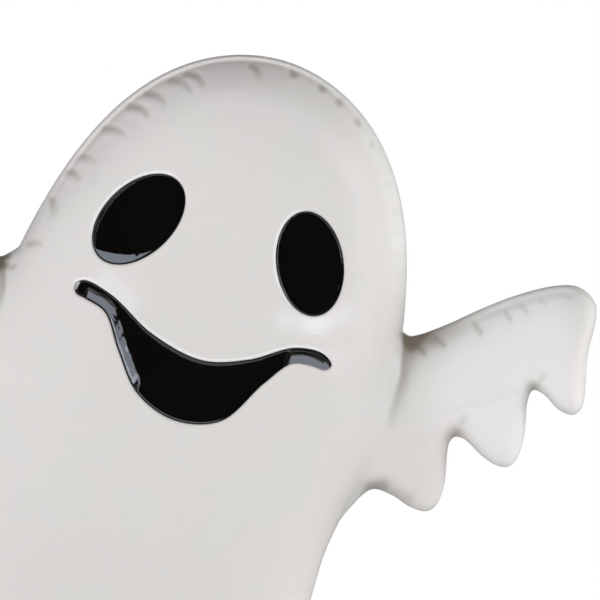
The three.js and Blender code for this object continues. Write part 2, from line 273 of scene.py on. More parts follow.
def spine_place(down):
    """A point on the real spine and its lean, at a distance below the crown"""
    up = SPINE - down
    upright = min(up, UPRIGHT)
    leaning = max(up - UPRIGHT - BEND_LENGTH, 0)
    angle = (up - upright - leaning) / BEND_RADIUS
    x = BEND_RADIUS * (1 - math.cos(angle)) + leaning * math.sin(LEAN)
    z = PAD_HEIGHT + upright + BEND_RADIUS * math.sin(angle) + leaning * math.cos(LEAN)
    return x, z, angle


def bend(bm):
    """Lay the unbent figure on its spine, in metres"""
    for vert in bm.verts:
        across, depth, height = vert.co
        x, z, angle = spine_place(-height)
        vert.co = MM * Vector((
            CENTRING_SHIFT + x + across * math.cos(angle),
            depth,
            z - across * math.sin(angle),
        ))


def half_width(down):
    dome = DOME_HALF_WIDTH * (1 - math.exp(-max(down, 0) / DOME_LENGTH)) ** DOME_POWER
    flare = max(down - FLARE_FROM, 0) / (SPINE - FLARE_FROM)
    opening = FOOT_HALF_WIDTH - DOME_HALF_WIDTH + WAIST_PINCH
    return dome - WAIST_PINCH * smoothstep(down, PINCH_FROM, PINCH_TO) + opening * flare ** 2


def centre_down(down):
    """Where the rows from an outline station meet the centre line: a soft fan on the forehead"""
    return (down + FAN_CENTRE + math.hypot(down - FAN_CENTRE, FAN_SOFTNESS)) / 2


def section(down):
    """Half depth and roundness of the body's cross-section"""
    low = smoothstep(down, FLARE_FROM, SPINE)
    return lerp(HEAD_HALF_DEPTH, FOOT_HALF_DEPTH, low), lerp(HEAD_FLATNESS, FOOT_FLATNESS, low)


def rim_place(across, down):
    """The outline station that a place on the face belongs to, as its distance below the crown"""
    low, high = 0, SPINE
    for _ in range(24):
        middle = (low + high) / 2
        centre = centre_down(middle)
        turned = abs(across) * (middle - centre) - (down - centre) * half_width(middle)
        if turned < 0:
            low = middle
        else:
            high = middle
    return high


def outline_stations():
    """Stations down one side of the outline: closer on the crimped head than below"""
    fine_count = 6000
    stations = []
    along = next_along = 0
    previous = (0, 0)
    for i in range(fine_count + 1):
        down = (SPINE - FOOT_ROUNDING) * (i / fine_count) ** 2
        across = half_width(down)
        along += math.hypot(down - previous[0], across - previous[1])
        if along >= next_along or i == fine_count:
            stations.append((along, down, across, 0))
            next_along += next(step for reach, step in STATION_STEPS if along < reach)
        previous = (down, across)
    for turn in (15, 30, 45, 60, 75, 90):
        angle = math.radians(turn)
        down = SPINE - FOOT_ROUNDING * (1 - math.sin(angle))
        tuck = FOOT_ROUNDING * (1 - math.cos(angle))
        stations.append((along, down, half_width(down) - tuck, tuck))
    return stations


def profile_turns():
    """Angles from the rim to the centre line: rows lie close together at the rim and widen inwards"""
    fine_count = 4000
    walked = next_walked = 0
    step = ROW_STEP
    turns = [0]
    previous = (1, 0)
    for i in range(1, fine_count + 1):
        angle = math.pi / 2 * i / fine_count
        here = (max(math.cos(angle), 0) ** (2 / HEAD_FLATNESS), math.sin(angle))
        walked += math.hypot(ROW_HALF_WIDTH * (here[0] - previous[0]), HEAD_HALF_DEPTH * (here[1] - previous[1]))
        if walked >= next_walked + step or i == fine_count:
            turns.append(angle)
            next_walked = walked
            if walked > FINE_ROWS:
                step = min(step * ROW_GROWTH, WIDEST_ROW_STEP)
        previous = here
    return turns


def stroke(spot, start, end, bow=0):
    """How far a spot lies aside of a pressed stroke, and past its ends"""
    start, end = Vector(start), Vector(end)
    half = (end - start) / 2
    way = half.normalized()
    off = spot - (start + end) / 2
    walked = off.dot(way)
    return off.cross(way) + bow * (walked ** 2 - half.length_squared), max(abs(walked) - half.length, 0)


def soft_past(x, softness=0.4):
    """x above 0 and nothing below it, with a soft turn between"""
    return (x + math.hypot(x, softness)) / 2


def soft_least(a, b, size):
    near = max(size - abs(a - b), 0) / size
    return min(a, b) - near * near * size / 4


def shelved(side, along, inward, depth):
    """The body's half depth near its rim, lowered to the shelf: fully on the left, faintly on the right"""
    past = soft_past(inward - SHELF_WIDTH)
    shelf = SHELF_DEPTH + (HEAD_HALF_DEPTH - SHELF_DEPTH) * (1 - math.exp(-past / SHELF_REACH))
    amount = rim_amount(side, along) * (1 - smoothstep(inward, *SHELF_INWARD_FADE))
    return lerp(depth, soft_least(depth, shelf, SHELF_SOFTNESS), amount)


def rim_amount(side, along):
    """How strong the rim's shelf is at a distance along the edge from the crown"""
    if side < 0:
        return 1 - smoothstep(along, *SHELF_FADE)
    faint = lerp(1, RIGHT_SHELF, smoothstep(along, *RIGHT_SHELF_FADE))
    return faint * (1 - smoothstep(along, *RIGHT_SHELF_END))


def rim_press(side, along, inward):
    """How far the crimps press the skin in"""
    if inward > CRIMPED_WIDTH:
        return 0
    press = 0
    for start, end, depth in RIGHT_CRIMPS if side > 0 else LEFT_CRIMPS:
        if abs(along - start[0]) < CRIMP_REACH:
            aside, past = stroke(Vector((along, inward)), start, end, CRIMP_BOW)
            lump = LUMP_HEIGHT * bell(aside + side * LUMP_ASIDE, LUMP_HALF_WIDTH)
            part = smoothstep(inward, start[1], max(end[1], start[1] + 3))
            fading = lerp(1, CRIMP_FAR_END, part)
            press += depth * fading * (bell(aside, CRIMP_HALF_WIDTH) - lump) * bell(past, CRIMP_END)
    return press


def face_depth(across, down):
    """Half depth of the body at a place on its face, with its rim and crimps, 0 outside its outline"""
    station = rim_place(across, down)
    centre = centre_down(station)
    reach = math.hypot(half_width(station), station - centre)
    outward = math.hypot(across, down - centre) / reach
    half_depth, flatness = section(station)
    depth = half_depth * math.sqrt(max(1 - outward ** flatness, 0))
    side = -1 if across < 0 else 1
    along, inward = walked_rim(station), reach * (1 - outward)
    return max(shelved(side, along, inward, depth) - rim_press(side, along, inward), 0)


def body_place(station, side, face, angle, at_centre):
    """A place on the body's skin, the painted shade in its rim's crease and crimps there, and the painted
    highlight down the right-hand rim
    """
    along, down, across, tuck = station
    centre = centre_down(down)
    half_depth, flatness = section(down)
    outward = 0 if at_centre else max(math.cos(angle), 0) ** (2 / flatness)
    depth = (half_depth - tuck) * math.sin(angle)
    reach = math.hypot(across, centre - down)
    inward = reach * (1 - outward)
    press = rim_press(side, along, inward)
    depth = max(shelved(side, along, inward, depth) - press, 0)
    around = math.atan2(face * math.sin(angle), side * math.cos(angle))
    fold = 1 + HEM_DEPTH * smoothstep(down, HEM_FROM, SPINE) * math.cos(HEM_FOLDS * around)
    outward *= fold
    depth *= fold
    spot = Vector((side * across * outward, face * depth, -(centre + (down - centre) * outward)))
    # Painted shade in the crease inside the shelf and in the crimps
    thin = CREASE_PAINTED_SHADE * rim_amount(side, along) * bell(inward - SHELF_WIDTH - 0.9, 0.8)
    return spot, thin + CRIMP_PAINTED_SHADE * min(max(press, 0), 1), painted_right_highlight(side, along, inward)


def painted_right_highlight(side, along, inward):
    """A painted highlight down the right-hand rim, mottled along it"""
    if side < 0:
        return 0
    mottle = 0.75 + 0.25 * math.sin(0.55 * along) * math.sin(0.23 * along + 1)
    down_rim = smoothstep(along, 12, 35) * (1 - smoothstep(along, 80, 112))
    return RIGHT_PAINTED_HIGHLIGHT * mottle * down_rim * (1 - smoothstep(inward, 3, 7.5))


def catmull_rom(points, closed=False, steps=40):
    """A centripetal curve through the points"""
    points = [Vector(point) for point in points]
    if closed:
        around = [points[-1]] + points + points[:2]
    else:
        around = [2 * points[0] - points[1]] + points + [2 * points[-1] - points[-2]]
    curve = []
    for before, start, end, after in zip(around, around[1:], around[2:], around[3:]):
        spans = ((before, start), (start, end), (end, after))
        d0, d1, d2 = (math.sqrt((b - a).length) for a, b in spans)
        leave = ((start - before) / d0 - (end - before) / (d0 + d1) + (end - start) / d1) * d1
        arrive = ((end - start) / d1 - (after - start) / (d1 + d2) + (after - end) / d2) * d1
        for i in range(steps):
            t = i / steps
            curve.append(
                start + leave * t + (3 * (end - start) - 2 * leave - arrive) * t ** 2
                + (2 * (start - end) + leave + arrive) * t ** 3
            )
    if not closed:
        curve.append(points[-1])
    return curve


def spaced(points, step):
    """A closed line's points, evenly spaced"""
    loop = points + [points[0]]
    walk = [0]
    for a, b in zip(loop, loop[1:]):
        walk.append(walk[-1] + (b - a).length)
    count = round(walk[-1] / step)
    result = []
    i = 0
    for k in range(count):
        at = walk[-1] * k / count
        while walk[i + 1] < at:
            i += 1
        part = (at - walk[i]) / (walk[i + 1] - walk[i])
        result.append(loop[i].lerp(loop[i + 1], part))
    return result


def distance_from(points, closed=True):
    """A function that gives a place's distance from a line, and the nearest point's number"""
    tree = KDTree(len(points))
    for i, point in enumerate(points):
        tree.insert((point.x, point.y, 0), i)
    tree.balance()

    def distance(x, y):
        _, i, nearest = tree.find((x, y, 0))
        here = points[i]
        others = (points[i - 1], points[(i + 1) % len(points)]) if closed else points[max(i - 1, 0):i + 2]
        for other in others:
            if other == here:
                continue
            along = other - here
            off = Vector((x, y)) - here
            part = min(max(off.dot(along) / along.length_squared, 0), 1)
            nearest = min(nearest, (off - along * part).length)
        return nearest, i

    return distance


def height_along(curve):
    """The height of an edge curve at each distance along it"""
    state = {"i": 1}

    def height(x):
        i = state["i"]
        while i > 1 and curve[i - 1].x > x:
            i -= 1
        while i < len(curve) - 1 and curve[i].x < x:
            i += 1
        state["i"] = i
        a, b = curve[i - 1], curve[i]
        part = min(max((x - a.x) / max(b.x - a.x, 1e-6), 0), 1)
        return lerp(a.y, b.y, part)

    return height


def new_piece(name, bm, material, nodes):
    bmesh.ops.remove_doubles(bm, verts=bm.verts, dist=0.004)
    bend(bm)
    bmesh.ops.recalc_face_normals(bm, faces=bm.faces)
    for face in bm.faces:
        face.smooth = True
    mesh = bpy.data.meshes.new(name)
    bm.to_mesh(mesh)
    bm.free()
    mesh.materials.append(material)
    piece = bpy.data.objects.new(name, mesh)
    bpy.context.collection.objects.link(piece)
    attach(piece, "root")
    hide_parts(*nodes)
    return piece


# Arms on the unbent figure

def arm_place(arm, along, height):
    cos, sin = math.cos(arm["raised"]), math.sin(arm["raised"])
    across = arm["side"] * (arm["across"] + along * cos - height * sin)
    return across, arm["down"] - along * sin - height * cos


def on_arm(arm, across, down):
    cos, sin = math.cos(arm["raised"]), math.sin(arm["raised"])
    x = arm["side"] * across - arm["across"]
    z = arm["down"] - down
    return x * cos + z * sin, z * cos - x * sin


def quarter_round(part):
    return math.sqrt(1 - (1 - min(part, 1)) ** 2)


def prepare_arm(arm):
    upper = catmull_rom(arm["upper"])
    lower = catmull_rom(LOWER_EDGE)
    arm["top"] = height_along(upper)
    arm["bottom"] = height_along(lower)
    arm["begin"] = UPPER_EDGE[0][0]
    arm["distance"] = distance_from(spaced(upper + lower[-2::-1], 0.3))


def arm_depth(arm, along, height):
    """Half depth of the plain arm at a place on its side, 0 outside its outline"""
    if not arm["begin"] < along < HAND_TIP[0]:
        return 0
    top, bottom = arm["top"](along), arm["bottom"](along)
    if not bottom < height < top:
        return 0
    inset = arm["distance"](along, height)[0]
    beam = ARM_HALF_DEPTH - HAND_THINNING * smoothstep(along, 0, HAND_TIP[0])
    drip = 1 - DRIP_THINNING * smoothstep(-height, 4, 40)
    rise = ARM_ROLL_PART * quarter_round(inset / ARM_ROLL)
    rise += ARM_FIELD_PART * quarter_round(inset / ARM_FIELD)
    depth = beam * drip * rise
    past = soft_past(top - height - ARM_SHELF_WIDTH)
    shelf = ARM_SHELF_DEPTH + (beam - ARM_SHELF_DEPTH) * (1 - math.exp(-past / ARM_SHELF_REACH))
    amount = smoothstep(along, 14, 26) * (1 - smoothstep(along, 73, 81))
    return lerp(depth, soft_least(depth, shelf, 1.5), amount) - arm_press(arm, along, height)


def arm_press(arm, along, height):
    """How far the crimps, the crease under the top edge and the armpit's hollow press an arm in"""
    press = 0
    for start, end, width, depth, _ in arm["crimps"]:
        if abs(along - start[0]) < 16 or abs(along - end[0]) < 16:
            aside, past = stroke(Vector((along, height)), start, end)
            lump = LUMP_HEIGHT * bell(aside - 2 * width, 1.4 * width)
            press += depth * (bell(aside, width) - lump) * bell(past, width)
    for start, end, width, depth, _ in VALLEY_DENTS:
        aside, past = stroke(Vector((along, height)), start, end)
        press += depth * bell(aside, width) * bell(past, width)
    pit = arm["armpit"][0]
    return press + ARMPIT_DEPTH * bell(math.hypot(along - pit[0], height - pit[1]), ARMPIT_REACH)


def beside_line(points, spot):
    """How far a spot lies from a broken line, towards the hand, and how far along it is, from 0 to 1"""
    nearest = None
    for i, (start, end) in enumerate(zip(points, points[1:])):
        start, line = Vector(start), Vector(end) - Vector(start)
        off = spot - start
        part = min(max(off.dot(line) / line.length_squared, 0), 1)
        away = (off - line * part).length
        if nearest is None or away < nearest[0]:
            nearest = (away, math.copysign(away, line.cross(off)), (i + part) / (len(points) - 1))
    return nearest[1:]


def crease(arm, along, height, width, softness):
    """The armpit's crease: sharp towards the body, soft towards the hand, and fading downwards"""
    aside, part = beside_line(arm["armpit"], Vector((along, height)))
    reach = width * (1 - 0.5 * part) if aside > 0 else softness
    return bell(aside, reach) * (1 - smoothstep(part, 0.1, 1))


def arm_painted_highlights(along, height):
    """How much painted light and painted highlight lie on an arm"""
    much = ARM_PAINTED_LIGHT * smoothstep(along, 5, 30) * (1 - smoothstep(along, 64, 80))
    for start, end, width, amount in ARM_PAINTED_HIGHLIGHTS:
        aside, past = stroke(Vector((along, height)), start, end)
        much = max(much, amount * bell(aside, width) * bell(past, 1))
    return much


def arm_painted_shade(arm, along, height):
    """How much painted shade lies round an arm's armpit, top edge, crimps and dents"""
    if arm_depth(arm, along, height) <= 0:
        return 0
    below = arm["top"](along) - height
    pit = arm["armpit"][0]
    past_pit = smoothstep(along, pit[0] - 3, pit[0] + 1)
    from_pit = math.hypot(along - pit[0], height - pit[1])
    # Painted shade in the armpit's crease, round the armpit, along and under the top edge, then in the crimps
    # and in the dents between the drips
    painted_dark = arm["painted_shade_amount"] * crease(arm, along, height, 4, 0.8)
    painted_dark += PIT_PAINTED_SHADE * past_pit * bell(from_pit, PIT_PAINTED_SHADE_REACH)
    painted_dark += EDGE_PAINTED_SHADE * past_pit * bell(below, EDGE_PAINTED_SHADE_WIDTH) * (1 - smoothstep(along, *EDGE_PAINTED_SHADE_FADE))
    under_edge = CREASE_SHADE * past_pit * bell(below - ARM_CREASE, 1.4)
    painted_dark = max(painted_dark, under_edge * (1 - smoothstep(along, 70, 80)))
    for start, end, width, _, thin in arm["crimps"]:
        aside, past = stroke(Vector((along, height)), start, end)
        painted_dark += (1 - min(painted_dark, 1)) * thin * bell(aside, 0.85 * width) * bell(past, width)
    for start, end, width, _, thin in VALLEY_DENTS:
        aside, past = stroke(Vector((along, height)), start, end)
        painted_dark = max(painted_dark, thin * bell(aside, 1.2 * width) * bell(past, 1.2 * width))
    return min(painted_dark, MOST_PAINTED_SHADE) * (1 - smoothstep(height, *NO_PAINTED_SHADE_ABOVE))


def blend_size(arm, height, depth):
    """How softly the arm runs into the body: tight above, wide below"""
    return min(lerp(12, 3, smoothstep(height, -8, 16)), 0.95 * depth)


def joined(arm, along, height, body, limb):
    """The common surface of body and arm, as a half depth, with the armpit's crease pressed in"""
    size = blend_size(arm, height, limb)
    if size <= 0:
        return body
    near = max(size - abs(body - limb), 0) / size
    return max(body, limb) + near * near * size / 4 - armpit(arm, along, height)


def armpit(arm, along, height):
    """How far the armpit's crease is pressed in"""
    return 2 * crease(arm, along, height, 5, 1)


def under(other, own, size):
    """How far one skin lies under the common surface where the other piece stands prouder"""
    return SKIN_GAP * smoothstep(other - own, -1, 1) + 0.03 * max(other - own - size / 2, 0) ** 2


def skin_at_arm(place):
    """The body's skin where an arm joins it, and the painted shade there"""
    across, depth, height = place
    for arm in ARMS.values():
        if arm["side"] * across > ARM_ACROSS and ARM_DOWN[0] < -height < ARM_DOWN[1]:
            along, up = on_arm(arm, across, -height)
            limb = arm_depth(arm, along, up)
            if limb > 0:
                body = abs(depth)
                size = blend_size(arm, up, limb)
                common = joined(arm, along, up, body, limb) - under(limb, body, size)
                new = lerp(body, common, smoothstep(body, 0, 8))
                return Vector((across, math.copysign(new, depth), height)), arm_painted_shade(arm, along, up)
    return place, 0


def arm_skin(arm):
    """A closed limb: its rows run from the top edge down the front and the back to the bottom edge"""
    columns, rows = ARM_COLUMNS, ARM_ROWS
    bm = bmesh.new()
    thin = bm.verts.layers.float.new("thin")
    painted_highlight = bm.verts.layers.float.new("painted_highlight")
    bmesh.ops.create_grid(bm, x_segments=columns, y_segments=2 * rows, size=1)
    depths = {}
    drips = []
    for vert in bm.verts:
        column = round((vert.co.x + 1) / 2 * columns)
        row = round(vert.co.y * rows)
        along = lerp(HAND_TIP[0], arm["begin"], (1 - column / columns) ** 1.35)
        top, bottom = arm["top"](along), arm["bottom"](along)
        part = (1 - math.cos(math.pi * abs(row) / rows)) / 2
        height = lerp(top, bottom, part)
        across, down = arm_place(arm, along, height)
        key = (column, abs(row))
        if key not in depths:
            limb = arm_depth(arm, along, height) if 0 < abs(row) < rows else 0
            body = face_depth(across, down)
            size = blend_size(arm, height, limb)
            common = joined(arm, along, height, body, limb) - under(body, limb, size)
            depths[key] = lerp(limb, common, smoothstep(limb, 0, 5)) if limb > 0 else 0
        if along > 6 and 0 < abs(row) < rows:
            drips.append(vert)
        # Painted shade and painted highlights, kept as attributes of the skin
        vert[thin] = arm_painted_shade(arm, along, height)
        vert[painted_highlight] = arm_painted_highlights(along, height)
        vert.co = (across, math.copysign(depths[key], row), -down)
    bmesh.ops.remove_doubles(bm, verts=bm.verts, dist=0.004)
    drips = [vert for vert in drips if vert.is_valid and abs(vert.co.y) > 0.5]
    for _ in range(14):
        bmesh.ops.smooth_vert(bm, verts=drips, factor=0.5, use_axis_y=True)
    return bm


# Face outlines, as places across and up from the crown

def eye_place(eye, x, y):
    """A place in an eye, from its place along and across the eye's long axis"""
    turn = math.radians(90 + eye["tilt"])
    return Vector((
        eye["across"] + x * math.cos(turn) - y * math.sin(turn),
        -eye["down"] + x * math.sin(turn) + y * math.cos(turn),
    ))


def eye_outline(eye):
    angles = [math.radians(i) for i in range(360)]
    ellipse = [(eye["long"] * math.cos(angle), eye["short"] * math.sin(angle)) for angle in angles]
    return spaced([eye_place(eye, x, y) for x, y in ellipse], 1.0)


def mouth_outline():
    curve = catmull_rom([(across, -down) for across, down in UPPER_LIP + LOWER_LIP[1:]], closed=True)
    return spaced(curve, 0.9)


def clockwise(points):
    return sum(a.x * b.y - b.x * a.y for a, b in zip(points, points[1:] + points[:1])) < 0


def outward_normals(points):
    sign = -1 if clockwise(points) else 1
    normals = []
    for before, after in zip(points[-1:] + points[:-1], points[1:] + points[:1]):
        along = (after - before).normalized()
        normals.append(Vector((along.y, -along.x)) * sign)
    return normals


def inside(point, outline):
    crossings = 0
    for a, b in zip(outline, outline[1:] + outline[:1]):
        if (a.y > point.y) != (b.y > point.y):
            if point.x < a.x + (b.x - a.x) * (point.y - a.y) / (b.y - a.y):
                crossings += 1
    return crossings % 2 == 1


def lip_drop(outside):
    """How far the rounded lip of a hollow lies behind the plain face, at a distance outside the hollow"""
    if outside < LIP_RADIUS:
        return LIP_RADIUS - math.sqrt(LIP_RADIUS ** 2 - (LIP_RADIUS - outside) ** 2)
    return 0


def extruded(bm, edges):
    """A new ring drawn out of a ring of edges: its verts and its edges"""
    made = bmesh.ops.extrude_edge_only(bm, edges=edges)["geom"]
    verts = {item for item in made if isinstance(item, bmesh.types.BMVert)}
    return verts, [item for item in made if isinstance(item, bmesh.types.BMEdge) and set(item.verts) <= verts]


def cut_hollow(bm, outline, highlight_side):
    """Cut a hollow with a rounded lip into the front of the body, with a painted highlight on one side of the
    lip
    """
    distance = distance_from(outline)
    low = Vector((min(p.x for p in outline), min(p.y for p in outline)))
    high = Vector((max(p.x for p in outline), max(p.y for p in outline)))
    margin = LIP_REACH + 0.7
    cut = []
    for vert in bm.verts:
        x, depth, y = vert.co
        if depth < 0 and low.x - margin < x < high.x + margin and low.y - margin < y < high.y + margin:
            if distance(x, y)[0] < margin or inside(Vector((x, y)), outline):
                cut.append(vert)
    bmesh.ops.delete(bm, geom=cut, context="VERTS")
    torn = [edge for edge in bm.edges if len(edge.link_faces) == 1]
    normals = outward_normals(outline)
    order = bm.verts.layers.int.get("order") or bm.verts.layers.int.new("order")
    painted_highlight = bm.verts.layers.float["painted_highlight"]

    def place(i, outside, drop):
        point = outline[i] + normals[i] * outside
        return Vector((point.x, drop - face_depth(point.x, -point.y), point.y))

    ring = []
    for i in range(len(outline)):
        vert = bm.verts.new(place(i, LIP_REACH, lip_drop(LIP_REACH)))
        vert[order] = i
        vert[painted_highlight] = painted_highlight_at(vert.co)
        ring.append(vert)
    edges = [bm.edges.new((a, b)) for a, b in zip(ring, ring[1:] + ring[:1])]
    bmesh.ops.triangle_fill(bm, edges=torn + edges, use_beauty=True, normal=(0, -1, 0))
    rings = [(outside, lip_drop(outside)) for outside in (3, 2.6, 2.1, 1.7, 1.35, LIP_RADIUS)]
    for turn in range(10, 91, 10):
        angle = math.radians(turn)
        outside = LIP_RADIUS * (1 - math.sin(angle))
        rings.append((outside, lip_drop(outside)))
    rings += [(0, 1.8), (0, HOLLOW_DEPTH - 0.3), (-0.3, HOLLOW_DEPTH)]
    for outside, drop in rings:
        verts, edges = extruded(bm, edges)
        for vert in verts:
            vert.co = place(vert[order], outside, drop)
            turned = normals[vert[order]].dot(Vector(highlight_side))
            # A painted highlight on the lip's inner edge, on its highlight side
            beside = smoothstep(turned, 0.2, 0.8) * (1 - smoothstep(outside, 0.7, 1.3))
            vert[painted_highlight] = max(beside, painted_highlight_at(vert.co))
    bmesh.ops.triangle_fill(bm, edges=edges, use_beauty=True, normal=(0, -1, 0))


def painted_highlight_at(place):
    """How much painted highlight lies at a place on the face"""
    across, depth, height = place
    if depth > 0:
        return 0
    much = 0
    for start, end, width, amount in PAINTED_HIGHLIGHTS:
        aside, past = stroke(Vector((across, -height)), start, end)
        much += amount * bell(aside, width) * bell(past, width)
    return min(much, 1)


def body_skin():
    stations = outline_stations()
    turns = profile_turns()
    rows = len(turns) - 1
    last = len(stations) - 1
    bm = bmesh.new()
    painted_highlight = bm.verts.layers.float.new("painted_highlight")
    thin = bm.verts.layers.float.new("thin")
    bmesh.ops.create_grid(bm, x_segments=2 * last, y_segments=2 * rows, size=1)
    for vert in bm.verts:
        column = round(vert.co.x * last)
        row = round(vert.co.y * rows)
        side = -1 if column < 0 else 1
        face = -1 if row < 0 else 1
        spot, painted_shade_amount, right_highlight = body_place(stations[abs(column)], side, face, turns[abs(row)], abs(row) == rows)
        vert.co, painted_dark = skin_at_arm(spot)
        # Painted highlights and painted shade, kept as attributes of the skin
        vert[painted_highlight] = max(painted_highlight_at(vert.co), right_highlight)
        vert[thin] = max(painted_shade_amount, painted_dark)
    bmesh.ops.remove_doubles(bm, verts=bm.verts, dist=0.02)
    close_foot(bm)
    for eye in EYES.values():
        cut_hollow(bm, eye_outline(eye), eye["painted_highlight"])
    cut_hollow(bm, mouth_outline(), MOUTH_HIGHLIGHT_SIDE)
    return bm


def close_foot(bm):
    """The flat underside, with the vent hole that let the steam out"""
    centre = Vector((FOOT_VENT_ACROSS, 0, -SPINE))
    edges = [edge for edge in bm.edges if len(edge.link_faces) == 1]
    for part, height in ((0.97, 0), (0.6, 0), (None, 0), (None, 0.6), (None, WALL)):
        verts, edges = extruded(bm, edges)
        for vert in verts:
            off = vert.co - centre
            off.z = 0
            reach = FOOT_VENT_RADIUS if part is None else off.length * part
            vert.co = centre + off.normalized() * reach + Vector((0, 0, height))
    bmesh.ops.triangle_fill(bm, edges=edges, use_beauty=True)


def pool(upper, lower, begin, end, grid, place, outline, brims, fall):
    """Glaze that lies in a hollow: a closed form between an upper and a lower edge"""
    columns, rows = grid
    distance = distance_from(outline)
    slopes = [slope_of(outline, brim) for brim in brims]
    bm = bmesh.new()
    bmesh.ops.create_grid(bm, x_segments=columns, y_segments=2 * rows, size=1)
    fronts = []
    for vert in bm.verts:
        column = (vert.co.x + 1) / 2
        row = vert.co.y
        along = lerp(begin, end, (1 - math.cos(math.pi * column)) / 2)
        part = (1 - math.cos(math.pi * abs(row))) / 2
        height = lerp(upper(along), lower(along), part)
        point = place(along, height)
        on_edge = abs(row) < 1e-4 or abs(row) > 1 - 1e-4 or column < 1e-4 or column > 1 - 1e-4
        inset = 0 if on_edge else distance(point.x, point.y)[0]
        if row < 0 and not on_edge and inset > 0.3:
            fronts.append(vert)
        if row <= 0:
            depths = [1, inset / STEEP_BRIM] + [slope(point, inset) for slope in slopes]
            drop = GLAZE_EDGE + fall * min(depths)
        else:
            drop = GLAZE_EDGE + (fall + 1) * smoothstep(inset, 0, 0.6)
        vert.co = (point.x, drop - face_depth(point.x, -point.y), point.y)
    for _ in range(3):
        bmesh.ops.smooth_vert(bm, verts=fronts, factor=0.5, use_axis_y=True)
    return bm


def slope_of(outline, brim):
    """A function that says how far down a brim a place is: 0 at its outer edge, 1 at the pool"""
    towards, border = Vector(brim["towards"]), brim["border"]
    if "sag" in brim:
        lowest = max(outline, key=lambda point: point.dot(towards))
    else:
        edge, widths = [], []
        for point, outward in zip(outline, outward_normals(outline)):
            facing = smoothstep(outward.dot(towards), 0.35, 0.75)
            if facing > 0 and brim["from"] < point.x < brim["to"]:
                edge.append(point)
                widths.append(lerp(STEEP_BRIM, brim["width"], facing if border else 1))
        distance = distance_from(edge, closed=False)

    def slope(place, inset):
        if "sag" in brim:
            off = lowest - place
            away, width = off.dot(towards) - brim["sag"] * off.cross(towards) ** 2, brim["width"]
        elif brim["from"] < place.x < brim["to"]:
            away, nearest = distance(place.x, place.y)
            width = widths[nearest]
        else:
            return 1
        if not border:
            return min(away / width, inset / brim["wall"])
        return BORDER_FALL * min(inset / border, 1) + (1 - BORDER_FALL) * max(away - border, 0) / width

    return slope


def eye_pool(eye):
    long, short = eye["long"] + GLAZE_GROWTH, eye["short"] + GLAZE_GROWTH

    def half(along):
        return short * math.sqrt(max(1 - (along / long) ** 2, 0))

    grown = dict(eye, long=long, short=short)
    return pool(
        half, lambda along: -half(along), -long, long, EYE_GRID,
        lambda x, y: eye_place(eye, x, y), eye_outline(grown), eye["brims"], EYE_FALL,
    )


def mouth_pool():
    outline = mouth_outline()
    grown = [point + normal * GLAZE_GROWTH for point, normal in zip(outline, outward_normals(outline))]
    left = min(range(len(grown)), key=lambda i: grown[i].x)
    turned = grown[left:] + grown[:left]
    right = max(range(len(turned)), key=lambda i: turned[i].x)
    first = turned[:right + 1]
    second = [turned[0]] + turned[:right - 1:-1]
    lower, upper = sorted((first, second), key=lambda edge: edge[len(edge) // 2].y)
    return pool(
        height_along(upper), height_along(lower), turned[0].x, turned[right].x, MOUTH_GRID,
        lambda x, y: Vector((x, y)), grown, MOUTH_BRIMS, MOUTH_FALL,
    )


# Materials

def linear(code):
    """An sRGB hex colour as linear red, green, blue and alpha"""
    values = [int(code[i:i + 2], 16) / 255 for i in (1, 3, 5)]
    return [v / 12.92 if v <= 0.04045 else ((v + 0.055) / 1.055) ** 2.4 for v in values] + [1]


def add(material, kind, settings=None, links=None):
    """A node with its settings and links"""
    tree = material.node_tree
    node = tree.nodes.new(kind)
    for name, value in (settings or {}).items():
        if isinstance(name, str) and hasattr(node, name):
            setattr(node, name, value)
        else:
            node.inputs[name].default_value = value
    for name, source in (links or {}).items():
        tree.links.new(source, node.inputs[name])
    return node


def new_material(name):
    material = bpy.data.materials.new(name)
    material.use_nodes = True
    material.node_tree.nodes.clear()
    return material


def shade(material, settings, links):
    surface = add(material, "ShaderNodeBsdfPrincipled", settings, links)
    add(material, "ShaderNodeOutputMaterial", {}, {"Surface": surface.outputs["BSDF"]})


def two_tone(material, place, scale_mm, first, second, detail=2, contrast=False):
    """A colour that wanders between two tones"""
    scale = 1 / (scale_mm * MM)
    noise = add(material, "ShaderNodeTexNoise", {"Scale": scale, "Detail": detail}, {"Vector": place})
    part = noise.outputs["Fac"]
    if contrast:
        part = add(
            material, "ShaderNodeMapRange", {"From Min": 0.35, "From Max": 0.65}, {"Value": part},
        ).outputs["Result"]
    tone = add(material, "ShaderNodeMix", {"data_type": "RGBA"}, {"Factor": part})
    set_colours(tone, first, second)
    return tone.outputs["Result"]


def set_colours(tone, first, second):
    """The two colours of a mix node, on its colour sockets"""
    tone.inputs[6].default_value = linear(first)
    tone.inputs[7].default_value = linear(second)


